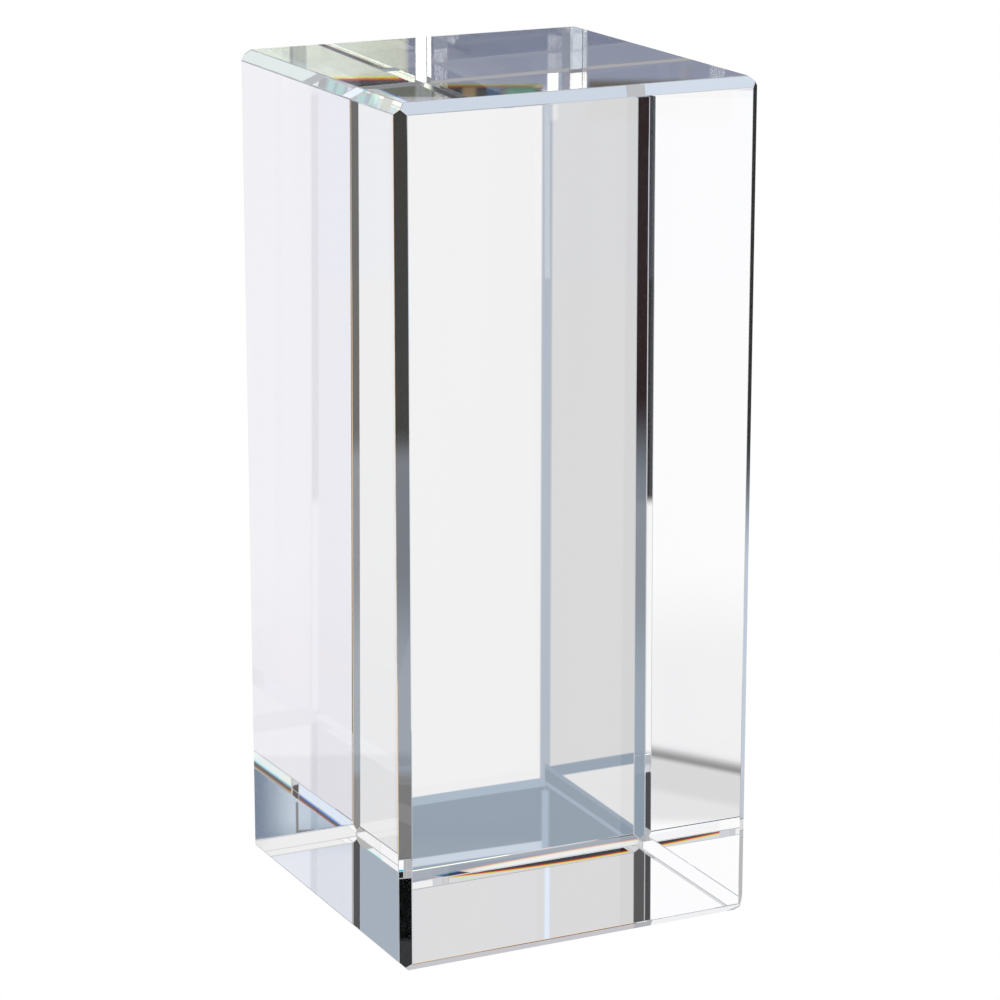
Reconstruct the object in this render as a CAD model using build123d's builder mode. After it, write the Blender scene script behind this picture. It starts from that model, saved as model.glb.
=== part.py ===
"""Crystal award: one upright square prism, cut and polished from a single block of clear optical
crystal, with a narrow flat bevel on every edge.

Millimetres, +Z up, front face towards -Y. The origin is the middle of the resting face.
"""

import os

from build123d import *

# Driving dimensions
SIDE = 45.0  # across the square footprint, flat to flat, both ways
HEIGHT = 100.0  # from the resting face to the top face
BEVEL = 1.2  # leg of the 45 degree bevel that is ground on all twelve edges

os.makedirs("parts", exist_ok=True)

# Each edge is ground flat from end to end, so the block is what three bevelled outlines have in
# common: the plan, the front view and the side view. The bevels then meet in a point at each corner.
with BuildPart() as crystal_block:
    with BuildSketch(Plane.XY) as plan:
        Rectangle(SIDE, SIDE)
        chamfer(plan.vertices(), length=BEVEL)
    extrude(amount=HEIGHT)
    for view in (Plane.XZ, Plane.YZ):
        with BuildSketch(view) as outline:
            with Locations((0, HEIGHT / 2)):
                Rectangle(SIDE, HEIGHT)
            chamfer(outline.vertices(), length=BEVEL)
        extrude(amount=SIDE / 2, both=True, mode=Mode.INTERSECT)

crystal_block.part.label = "crystal_block"
export_step(crystal_block.part, "parts/crystal_block.step")
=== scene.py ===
"""Looks of the crystal award: one block of polished optical crystal, in the light of a studio."""

import math

import bpy
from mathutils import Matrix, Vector


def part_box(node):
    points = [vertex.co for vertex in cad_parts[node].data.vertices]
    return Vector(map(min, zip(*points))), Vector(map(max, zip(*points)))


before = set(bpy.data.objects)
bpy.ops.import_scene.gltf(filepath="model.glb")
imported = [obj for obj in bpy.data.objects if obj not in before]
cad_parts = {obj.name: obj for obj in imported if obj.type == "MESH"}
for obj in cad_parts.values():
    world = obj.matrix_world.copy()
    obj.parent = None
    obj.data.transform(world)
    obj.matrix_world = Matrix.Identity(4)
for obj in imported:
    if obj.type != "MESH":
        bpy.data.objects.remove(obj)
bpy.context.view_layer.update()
LOW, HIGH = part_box("crystal_block")
SIDE = HIGH.x - LOW.x
HEIGHT = HIGH.z - LOW.z

scene = bpy.context.scene


# --------------------------------------------------------------------------------------------
# Camera

VIEW_AZIMUTH = math.radians(-26.06)    # from the front face's middle, towards the left face
VIEW_ELEVATION = math.radians(15.35)
VIEW_DISTANCE = 9.91 * SIDE
AIM = Vector((0, 0, LOW.z + 0.4796 * HEIGHT))
FOCAL_LENGTH = 135.8                   # in millimetres, as the sensor's width is
SENSOR_WIDTH = 36
FRAME_SHIFT = 0.006                    # the photograph has the block a little left of its middle


def make_camera():
    """Looks down on the block from its front left, wide face to the right."""
    level = math.cos(VIEW_ELEVATION)
    back = Vector((math.sin(VIEW_AZIMUTH) * level, -math.cos(VIEW_AZIMUTH) * level, math.sin(VIEW_ELEVATION)))
    data = bpy.data.cameras.new("camera")
    data.lens = FOCAL_LENGTH
    data.sensor_width = SENSOR_WIDTH
    data.shift_x = FRAME_SHIFT
    data.clip_start = 0.01
    data.clip_end = 200
    camera = bpy.data.objects.new("camera", data)
    scene.collection.objects.link(camera)
    camera.location = AIM + back * VIEW_DISTANCE
    camera.rotation_euler = back.to_track_quat("Z", "Y").to_euler()
    scene.camera = camera


# --------------------------------------------------------------------------------------------
# Node helpers

class Tree:
    """Adds nodes and links in one call each."""

    def __init__(self, tree):
        self.tree = tree
        tree.nodes.clear()

    def add(self, kind, inputs=None, **settings):
        node = self.tree.nodes.new(kind)
        for name, value in settings.items():
            setattr(node, name, value)
        for key, value in (inputs or {}).items():
            if isinstance(value, bpy.types.NodeSocket):
                self.tree.links.new(value, node.inputs[key])
            else:
                node.inputs[key].default_value = value
        return node

    def math(self, operation, *values):
        node = self.add("ShaderNodeMath", dict(enumerate(values)), operation=operation)
        return node.outputs[0]

    def step(self, value, edge, blur):
        """0 below the edge and 1 above it, over a soft band of twice the blur. A negative blur swaps them."""
        node = self.add("ShaderNodeMapRange", {0: value, 1: edge - blur, 2: edge + blur},
                        interpolation_type="SMOOTHSTEP")
        return node.outputs[0]

    def span(self, value, bottom, top, blur, fade):
        """1 between bottom and top, with soft ends."""
        above = self.step(value, bottom, fade[0] or blur)
        below = self.step(value, top, -(fade[1] or blur))
        return self.math("MULTIPLY", above, below)


def set_stop(stop, position, colour):
    stop.position = position
    stop.color = (*colour, 1)


# --------------------------------------------------------------------------------------------
# Studio: what the crystal sees
#
# It is a set of walls, each a window of directions, with its own panels. Azimuth 0 is straight behind
# the block and 90 to its right. A later panel covers an earlier one, and a later wall an earlier wall.

# Tints: a panel's level is multiplied by one.
WHITE = (1, 1, 1)
COOL = (0.86, 0.96, 1.1)
SLATE = (0.8, 0.97, 1.16)
LILAC = (0.99, 0.975, 1.035)
BROWN = (1.15, 1.0, 0.6)
AMBER = (1.25, 0.8, 0.35)
PALE_GREEN = (1.0, 1.07, 0.86)
HAZE = (0.9, 1.0, 1.38)
UMBER = (1.3, 0.85, 0.9)
EMERALD = (0.05, 1.0, 0.5)
NAVY = (0.05, 0.5, 1.3)
TEAL = (0.7, 1.03, 1.0)
ICE = (0.93, 1.02, 1.01)

WALLS = []


def wall(azimuths, elevations):
    """Starts a wall, between two azimuths and two elevations in degrees."""
    WALLS.append((azimuths, elevations, []))


def panel(azimuths, elevations, level, tint=WHITE, blur=0.05, fade=(None, None), tilt=0.0, prism=0.0):
    """A patch of light on the last wall, between two azimuths and two elevations.

    fade replaces the blur at its bottom and its top. tilt lifts it by so many degrees for each degree of
    azimuth to the right of its middle. prism shifts its red mask down and its blue one up by so many
    degrees, as the crystal does to an edge seen at a slant."""
    light = [level * t for t in tint]
    WALLS[-1][2].append((azimuths, elevations, light, blur, fade, tilt, prism))


def behind_right():
    """A white wall and, to its right, a greyer one, standing on a slate table."""
    wall((20, 32), (-30, 30))
    panel((24.5, 28.8), (-24, -9), 0.89)
    panel((26.88, 28.8), (-24, -9), 0.70, blur=0.01)
    panel((26.80, 26.96), (-20, -9), 0.50, COOL, blur=0.02)
    panel((24.5, 26.88), (-26, -19.722), 0.49, SLATE, blur=0.012, tilt=0.141)
    panel((24.5, 26.88), (-26, -19.855), 0.345, SLATE, blur=0.012, tilt=0.141)
    panel((24.5, 26.88), (-20.783, -20.66), 0.68, COOL, blur=0.015, tilt=0.13)
    panel((26.88, 28.8), (-26, -19.409), 0.80, blur=0.015, tilt=0.163)
    panel((26.88, 28.8), (-19.409, -19.241), 0.37, SLATE, blur=0.015, tilt=0.163)
    panel((26.88, 28.8), (-26, -19.958), 0.40, SLATE, blur=0.015, tilt=-0.645)
    panel((26.88, 28.8), (-26, -20.03), 0.345, SLATE, blur=0.015, tilt=-0.645)
    panel((26.88, 28.8), (-20.27, -20.205), 0.46, SLATE, blur=0.015, tilt=-0.63)
    panel((26.83, 26.94), (-26, -19.75), 0.50, SLATE, blur=0.03)
    # the narrow gap at its side
    panel((23.3, 24.5), (-25, -8), 0.87)
    panel((21.5, 24.75), (-9.12, -7), 1.4, PALE_GREEN)
    panel((22.95, 23.2), (-9.12, -7), 0.78, PALE_GREEN, blur=0.02)
    panel((22.95, 23.0), (-9.12, -7), 0.5, PALE_GREEN, blur=0.015)
    panel((23.2, 24.75), (-9.13, -8.965), 0.01, blur=0.008, prism=0.03)
    # above the table's level, seen by way of the resting face
    panel((20, 32), (3, 9.88), 0.02, COOL, blur=0.02, tilt=0.44)
    panel((20, 32), (9.88, 10.0), 0.95, blur=0.02, tilt=0.44, prism=-0.015)
    panel((20, 24.1), (3, 9.15), 0.25, COOL, blur=0.5)
    panel((23.2, 24.75), (8.97, 9.13), 0.02, blur=0.01)
    panel((20, 32), (10.0, 12.6), 0.38, COOL, blur=0.02, tilt=0.44, prism=-0.015)
    panel((26, 31), (-8, 2.9), 0.06, COOL, blur=0.3)
    panel((20, 30), (12.8, 14.5), 0.60, LILAC, blur=0.1)
    panel((20, 30), (14.8, 18), 0.9, AMBER, blur=0.1)
    panel((22, 24.55), (19, 24), 0.44, SLATE)
    panel((24.55, 28.8), (19, 24), 0.71)
    panel((26.88, 26.96), (19, 24), 0.9, COOL, blur=0.02)


def behind_left():
    """The brightest wall, with a soft shadow low on it."""
    wall((-42, -18), (-30, 32))
    panel((-34, -20), (-25, -8), 1.0, fade=(0.3, 0.3))
    panel((-34, -20), (-22, -17), 0.90, fade=(0.3, 0.9))
    panel((-34, -27), (-22, -19.4), 0.70, tilt=0.168, fade=(0.1, 0.15))
    panel((-34, -27), (-19.55, -19.42), 0.26, tilt=0.168, fade=(0.05, 0.09))
    panel((-34, -27), (-21, -20.04), 0.80, tilt=0.168, blur=0.08)
    panel((-34, -20), (-21, -20.2), 1.0, blur=0.1)
    panel((-34, -24.75), (-9.12, -8.2), 0.55, HAZE, blur=0.03)
    panel((-24.7, -23), (-8.97, -8.2), 1.3, PALE_GREEN, blur=0.05)
    panel((-26.5, -19), (-25, -19.2), 0.5, blur=0.06)
    panel((-31, -26), (-8, 3), 0.06, COOL, blur=0.3)
    panel((-34, -20), (9, 30), 1.02)
    panel((-21.95, -20.85), (21.55, 21.8), 0.95, COOL, blur=0.02, tilt=-0.91)
    panel((-21.95, -20.85), (21.465, 21.56), 0.0, blur=0.01, tilt=-0.91, prism=-0.016)
    panel((-21.95, -20.85), (21.1, 21.425), 0.35, SLATE, blur=0.01, tilt=-0.91, prism=-0.015)
    panel((-22.6, -21.95), (21.9, 22.25), 0.35, SLATE, blur=0.01, tilt=-0.91, prism=-0.04)


def straight_behind():
    """A pale wall over the table, with dark strips low and high."""
    wall((-16, 5), (-30, 30))
    panel((-16, 5), (-8.6, 14), 0.93)
    panel((1.3, 5), (-8.6, 14), 0.72, COOL)
    panel((1.1, 1.4), (-8.6, 14), 0.5, COOL, blur=0.03)
    panel((-16, 5), (-9.4, -5.9), 0.36, SLATE, blur=0.03, tilt=0.06)
    panel((-16, 5), (-6.5, -6.35), 0.5, SLATE, blur=0.03, tilt=0.06)
    panel((-4, 3), (18, 24), 0.11)
    panel((-14, -8), (18, 24), 0.6)
    panel((-11, -9), (23.9, 24.75), 2.2, PALE_GREEN)
    panel((-11, -9), (24.8, 25.4), 0.05)
    panel((-4, 3), (-26, -8.9), 0.025, UMBER)
    panel((-4, 3), (-26, -14.5), 0.26, COOL, fade=(0.1, 0.8))
    panel((-4, 3), (-26, -17.5), 0.38, SLATE, fade=(0.1, 1.0))
    panel((-14, -7), (-26, -8.9), 0.02, COOL)
    panel((-14, -7), (-26, -15.5), 0.75, COOL, fade=(0.1, 0.9))


def behind_far_right():
    """A brown strip, slate low down, and an amber card beside it."""
    wall((45, 90), (-30, 30))
    panel((55, 62), (18, 25), 0.0)
    panel((50, 61), (-15, -8.8), 0.015, BROWN, fade=(0.6, 0.1))
    panel((50, 61), (-26, -14.6), 0.19, COOL, fade=(0.1, 0.4))
    panel((50, 61), (-26, -17.2), 0.35, COOL, fade=(0.1, 0.9))
    panel((50, 61), (-26, -19.5), 0.22, fade=(0.1, 0.1))
    panel((61, 84), (-26, -8.8), 0.75, AMBER)
    panel((73, 82), (-7, 0), 1.3, COOL, blur=0.5)


def front_right():
    """A lilac wall, with a navy card high on it."""
    wall((135, 180), (-34, 30))
    panel((140, 175), (-30, -4), 0.86, LILAC, blur=2)
    panel((151.5, 151.9), (-24, -8.9), 0.0, blur=0.02)
    panel((150, 156.1), (-9.25, -9.07), 0.3, PALE_GREEN, blur=0.02)
    panel((150, 163), (20.5, 24), 0.86, (0.97, 1.0, 1.1))
    panel((150, 163), (17, 20.45), 0.14, NAVY)
    panel((150, 157.45), (17, 20.45), 0.6, SLATE, blur=0.35)
    panel((157.09, 157.13), (19.9, 20.38), 0.05, blur=0.012)
    panel((156.85, 157.13), (20.32, 20.37), 0.05, blur=0.012)


def front_left():
    """A lilac wall and a cooler one, over a slate table, with small coloured cards at its edge."""
    wall((-165, -105), (-36, 36))
    panel((-143, -127), (-36, 36), 0.88, LILAC)
    panel((-134.2, -127), (-36, 36), 0.68, COOL, blur=0.1)
    panel((-134.4, -134.0), (-36, 36), 0.34, SLATE, blur=0.04)
    panel((-143, -127), (-36, -27.6), 0.36, SLATE, blur=0.03, tilt=0.16)
    panel((-143, -127), (-28.3, -28.0), 0.55, SLATE, blur=0.05, tilt=0.16)
    panel((-160, -145), (-12, -6), 0.55, HAZE)
    panel((-156, -150), (8.4, 9.8), 0.1)
    panel((-154.9, -153.2), (-9.6, -9.085), 0.0, blur=0.01, prism=0.03)
    panel((-154.42, -154.22), (-9.6, -9.1), 0.4, AMBER, blur=0.04)
    panel((-154.05, -153.85), (-9.6, -9.1), 0.25, NAVY, blur=0.04)
    panel((-153.75, -153.3), (-9.6, -9.11), 0.4, EMERALD, blur=0.06)
    panel((-153.12, -152.96), (-9.6, -8.3), 3.0, blur=0.02)
    panel((-152.5, -150.3), (-9.6, -9.0), 0.12, BROWN, fade=(0.1, 0.07))
    panel((-160.3, -158.3), (20.92, 21.3), 0.98, ICE, blur=0.02, tilt=0.95)
    panel((-160.3, -158.3), (20.5, 20.83), 0.33, SLATE, blur=0.01, tilt=0.95)
    panel((-160.3, -158.3), (20.835, 20.93), 0.0, blur=0.01, tilt=0.95, prism=-0.015)
    panel((-122, -115), (-6, 4), 0.05, blur=0.3)
    panel((-122, -115), (-9.2, -6), 2.4)
    panel((-124, -113.2), (-26, -9.2), 0.015)
    panel((-124, -115), (-19.2, -15.35), 0.95, fade=(0.1, 0.1))
    panel((-124, -115), (18, 22), 0.02)


def low_strips():
    """Two bright strips a little below the block: behind it to the left, and before it to the right."""
    wall((-68, -62), (-12, -5))
    panel((-68, -62), (-12, -5), 3.2)
    wall((112, 120), (-12, -5))
    panel((112, 120), (-12, -5), 1.4, COOL)


def floor_and_ceiling():
    """Pale cards below and above the block, and a few dark lines."""
    wall((-50, 50), (-60, -30))
    panel((28, 38), (-45, -30), 0.72, COOL, blur=1)
    panel((-42, -32), (-45, -30), 0.78, COOL, blur=1)
    wall((-176, -166), (20, 28))
    panel((-172, -169), (23.5, 23.79), 0.0, blur=0.012, tilt=1.93, prism=0.025)
    panel((-172, -169), (23.8, 25.5), 2.2, PALE_GREEN, blur=0.02, tilt=1.93)
    wall((44, 54), (44, 50))
    panel((44, 54), (44, 50), 0.68, TEAL)
    wall((-141.5, -133.6), (-49.7, -48.1))
    panel((-142, -133), (-50, -48), 0.72, LILAC)
    wall((-138, -136.5), (-61, -59.8))
    panel((-138, -136.5), (-61, -59.8), 0.7, COOL)
    panel((-138, -136.5), (-60.31, -59.8), 0.5, AMBER, blur=0.02)
    wall((-35.6, -34.6), (53.5, 54.6))
    panel((-35.6, -34.6), (53.5, 54.6), 0.7, COOL)
    panel((-35.6, -35.0), (53.5, 54.6), 0.03, blur=0.03)
    wall((-132.5, -129.5), (-48, -46.5))
    panel((-136, -126), (-50, -44), 0.7, TEAL)
    wall((90, 270), (40, 75))
    panel((-150, -115), (52, 60), 0.7, blur=0.5)
    panel((-150, -115), (58.0, 60), 1.1, blur=0.05)
    panel((-142, -120.2), (57.0, 57.25), 0.0, blur=0.015, tilt=-0.578, prism=-0.02)
    panel((-136, -126), (44, 50), 0.85, COOL)
    panel((120, 145), (50, 68), 0.9, blur=1)


def corner_walls():
    """For a walk round the block: at each corner a pair of walls over a slate table."""
    wall((-58, -42.2), (-36, 36))
    panel((-58, -42), (-36, 36), 0.9)
    panel((-58, -46.1), (-36, 36), 0.66, COOL, blur=0.1)
    panel((-46.3, -45.9), (-36, 36), 0.34, SLATE, blur=0.04)
    panel((-58, -42), (-36, -27.9), 0.36, SLATE, blur=0.03, tilt=-0.16)
    panel((-58, -42), (-28.6, -28.3), 0.55, SLATE, blur=0.05, tilt=-0.16)
    wall((40, 49.6), (-36, 36))
    panel((40, 50), (-36, 36), 0.78, COOL)
    panel((44.4, 50), (-36, 36), 0.93, blur=0.1)
    panel((40, 50), (-36, -27.5), 0.42, SLATE, blur=0.03, tilt=0.3)
    panel((40, 50), (-21, -18.9), 0.4, SLATE, blur=0.03, tilt=0.1)
    wall((128, 142), (-36, 36))
    panel((128, 142), (-36, 36), 0.9, LILAC)
    panel((135.6, 142), (-36, 36), 0.7, COOL, blur=0.1)
    panel((135.4, 135.8), (-36, 36), 0.34, SLATE, blur=0.04)
    panel((128, 142), (-36, -31), 0.36, SLATE, blur=0.03, tilt=-0.2)
    panel((131, 135.5), (-30, -28), 0.86, ICE)
    panel((128, 142), (-21, -18.9), 0.36, SLATE, blur=0.03, tilt=0.15)


def dark_strips():
    """They draw the upright bevels in the views from the corners."""
    wall((-76, -67), (-34, -16))
    panel((-76, -67), (-34, -16), 0.04, BROWN)
    wall((-18.4, -14.2), (-34, -18))
    panel((-19, -14), (-34, -18), 0.04, BROWN)
    wall((160.5, 166.5), (-24, -8))
    panel((160, 167), (-25, -8), 0.04, BROWN)
    wall((103, 111), (-24, -8))
    panel((103, 111), (-25, -8), 0.04, BROWN)


def square_walls():
    """Right, left and front, at the height of the block, for square-on views."""
    wall((84, 97), (-12, 14))
    panel((84, 97), (-12, 14), 0.93)
    panel((84, 89), (-12, 14), 0.7, COOL)
    panel((84, 97), (-12, -5.9), 0.36, SLATE, blur=0.03, tilt=0.06)
    wall((-97, -84), (-12, 14))
    panel((-97, -84), (-12, 14), 0.93)
    panel((-97, -91.2), (-12, 14), 0.72, COOL)
    panel((-91.4, -91.1), (-12, 14), 0.5, COOL, blur=0.03)
    panel((-97, -84), (-12, -5.9), 0.36, SLATE, blur=0.03, tilt=0.06)
    panel((-97, -84), (-6.5, -6.35), 0.5, SLATE, blur=0.03, tilt=0.06)
    wall((172, 188), (-12, 14))
    panel((172, 188), (-12, 14), 0.9, LILAC)
    wall((-66, -59), (-4.9, 5))
    panel((-66, -59), (-6, 6), 0.05)


# --------------------------------------------------------------------------------------------
# World

STRAIGHT_DOWN = (0.62, 0.63, 0.65)
STRAIGHT_UP = (0.75, 0.77, 0.8)
DIM_TINT = (0.97, 0.99, 1.03)
DIM = ((0.25, 0.42), (0.33, 0.6), (0.42, 0.62), (0.5, 0.5), (0.58, 0.42), (0.75, 0.5))  # height, level


def from_middle(t, azimuth, left, right):
    """How far a direction's azimuth is from the middle of a span, and half the span."""
    offset = t.math("SUBTRACT", azimuth, (left + right) / 2)
    return t.math("WRAP", offset, 180.0, -180.0), (right - left) / 2


def paint(t, colour, azimuth, elevation, patch):
    """The colour with one panel painted over it."""
    (left, right), (bottom, top), light, blur, fade, tilt, prism = patch
    across, half = from_middle(t, azimuth, left, right)
    up = t.math("MULTIPLY_ADD", across, -tilt, elevation) if tilt else elevation
    sides = t.step(t.math("ABSOLUTE", across), half, -blur)
    if not prism:
        mask = t.math("MULTIPLY", sides, t.span(up, bottom, top, blur, fade))
        mix = t.add("ShaderNodeMix", {0: mask, 6: colour, 7: (*light, 1)}, data_type="RGBA")
        return mix.outputs[2]
    masks = [t.math("MULTIPLY", sides, t.span(up, bottom + shift, top + shift, blur, fade))
             for shift in (-prism, 0.0, prism)]
    mask = t.add("ShaderNodeCombineXYZ", dict(enumerate(masks))).outputs[0]
    mix = t.add("ShaderNodeMix", {1: mask, 4: colour, 5: light}, data_type="VECTOR",
                factor_mode="NON_UNIFORM")
    return mix.outputs[1]


def dim_light(t, elevation):
    """The light of the directions that no wall covers, by height: 0 is straight down and 1 straight up."""
    node = t.add("ShaderNodeValToRGB", {0: t.math("MULTIPLY_ADD", elevation, 1 / 180, 0.5)})
    stops = node.color_ramp.elements
    set_stop(stops[0], 0.0, STRAIGHT_DOWN)
    set_stop(stops[1], 1.0, STRAIGHT_UP)
    for height, level in DIM:
        set_stop(stops.new(height), height, [level * part for part in DIM_TINT])
    return node.outputs[0]


def make_world():
    """Plain white to the camera, and the studio to the crystal."""
    world = bpy.data.worlds.new("studio")
    scene.world = world
    world.use_nodes = True
    t = Tree(world.node_tree)
    direction = t.add("ShaderNodeTexCoord").outputs["Generated"]
    x, y, z = t.add("ShaderNodeSeparateXYZ", {0: direction}).outputs
    azimuth = t.math("DEGREES", t.math("ARCTAN2", x, y))
    elevation = t.math("DEGREES", t.math("ARCSINE", z))
    dim = dim_light(t, elevation)
    light = t.add("ShaderNodeBackground", {0: dim}).outputs[0]
    for (left, right), (bottom, top), patches in WALLS:
        across, half = from_middle(t, azimuth, left, right)
        within = t.math("LESS_THAN", t.math("ABSOLUTE", across), half)
        middle = t.math("SUBTRACT", elevation, (bottom + top) / 2)
        level_with = t.math("LESS_THAN", t.math("ABSOLUTE", middle), (top - bottom) / 2)
        colour = dim
        for patch in patches:
            colour = paint(t, colour, azimuth, elevation, patch)
        here = t.add("ShaderNodeBackground", {0: colour}).outputs[0]
        inside = t.math("MULTIPLY", within, level_with)
        light = t.add("ShaderNodeMixShader", {0: inside, 1: light, 2: here}).outputs[0]
    white = t.add("ShaderNodeBackground", {0: (1, 1, 1, 1)}).outputs[0]
    seen = t.add("ShaderNodeLightPath").outputs["Is Camera Ray"]
    shown = t.add("ShaderNodeMixShader", {0: seen, 1: light, 2: white}).outputs[0]
    t.add("ShaderNodeOutputWorld", {0: shown})


TABLE_RADIUS = 4.0
TABLE_GAP = 0.00002  # below the resting face, so that the two never share a surface


def make_table():
    """A wide pale table that only the camera sees."""
    bpy.ops.mesh.primitive_circle_add(vertices=128, radius=TABLE_RADIUS, fill_type="NGON",
                                      location=(0, 0, LOW.z - TABLE_GAP))
    table = bpy.context.object
    table.name = "table"
    mat = bpy.data.materials.new("pale_table")
    mat.use_nodes = True
    t = Tree(mat.node_tree)
    glow = t.add("ShaderNodeEmission", {0: (1, 1, 1, 1), 1: 1.0}).outputs[0]
    t.add("ShaderNodeOutputMaterial", {0: glow})
    table.data.materials.append(mat)
    for ray in ("diffuse", "glossy", "transmission", "volume_scatter", "shadow"):
        setattr(table, "visible_" + ray, False)


# --------------------------------------------------------------------------------------------
# Crystal

IOR = 1.517
ARRIS = 0.00008   # how far polishing has rounded each sharp edge back, in metres
BOUNCES = 24      # light goes round and round inside a block
LET_OUT = 15.5    # light that has bounced more often than this leaves

STREAK_SCALE = 70.0                   # of the noise, to the metre
STREAK_STRETCH = 0.12                 # along the height: the less, the longer the streaks
STREAK_TINT = (0.985, 0.985, 0.995)   # at their darkest

WELD_DISTANCE = 1e-6                  # in metres
ARRIS_SEGMENTS = 3
ARRIS_ANGLE = math.radians(20)        # only edges that turn more than this are rounded


def crystal_material():
    """Clear polished crystal, with the faint upright streaks of a poured block."""
    mat = bpy.data.materials.new("polished_crystal")
    mat.use_nodes = True
    t = Tree(mat.node_tree)
    place = t.add("ShaderNodeTexCoord").outputs["Object"]
    drawn = t.add("ShaderNodeMapping", {0: place, "Scale": (1, 1, STREAK_STRETCH)}).outputs[0]
    noise = {"Vector": drawn, "Scale": STREAK_SCALE, "Detail": 2.0}
    streaks = t.add("ShaderNodeTexNoise", noise).outputs[0]
    tint = t.add("ShaderNodeValToRGB", {0: streaks})
    stops = tint.color_ramp.elements
    set_stop(stops[0], 0.4, STREAK_TINT)
    set_stop(stops[1], 0.6, WHITE)
    clear = t.add("ShaderNodeBsdfPrincipled", {"Base Color": tint.outputs[0], "Roughness": 0.0, "IOR": IOR,
                                               "Transmission Weight": 1.0}).outputs[0]
    depth = t.add("ShaderNodeLightPath").outputs["Ray Depth"]
    trapped = t.math("GREATER_THAN", depth, LET_OUT)
    leak = t.add("ShaderNodeBsdfTransparent").outputs[0]
    surface = t.add("ShaderNodeMixShader", {0: trapped, 1: clear, 2: leak}).outputs[0]
    t.add("ShaderNodeOutputMaterial", {0: surface})
    return mat


def set_material(block, mat):
    for slot in block.material_slots:
        slot.material = mat
    if not block.material_slots:
        block.data.materials.append(mat)


def round_arrises(block):
    """Polishing leaves no edge quite sharp: each one is a hair-thin curve that catches the light."""
    weld = block.modifiers.new("weld", "WELD")
    weld.merge_threshold = WELD_DISTANCE
    curve = block.modifiers.new("rounded_arrises", "BEVEL")
    curve.width = ARRIS
    curve.segments = ARRIS_SEGMENTS
    curve.limit_method = "ANGLE"
    curve.angle_limit = ARRIS_ANGLE


# --------------------------------------------------------------------------------------------
# Put together

make_camera()
behind_right()
behind_left()
straight_behind()
behind_far_right()
front_right()
front_left()
low_strips()
floor_and_ceiling()
corner_walls()
dark_strips()
square_walls()
make_world()
make_table()

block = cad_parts["crystal_block"]
set_material(block, crystal_material())
round_arrises(block)

scene.cycles.max_bounces = BOUNCES
scene.cycles.glossy_bounces = BOUNCES
scene.cycles.transmission_bounces = BOUNCES
scene.view_settings.view_transform = "Standard"
scene.view_settings.look = "None"
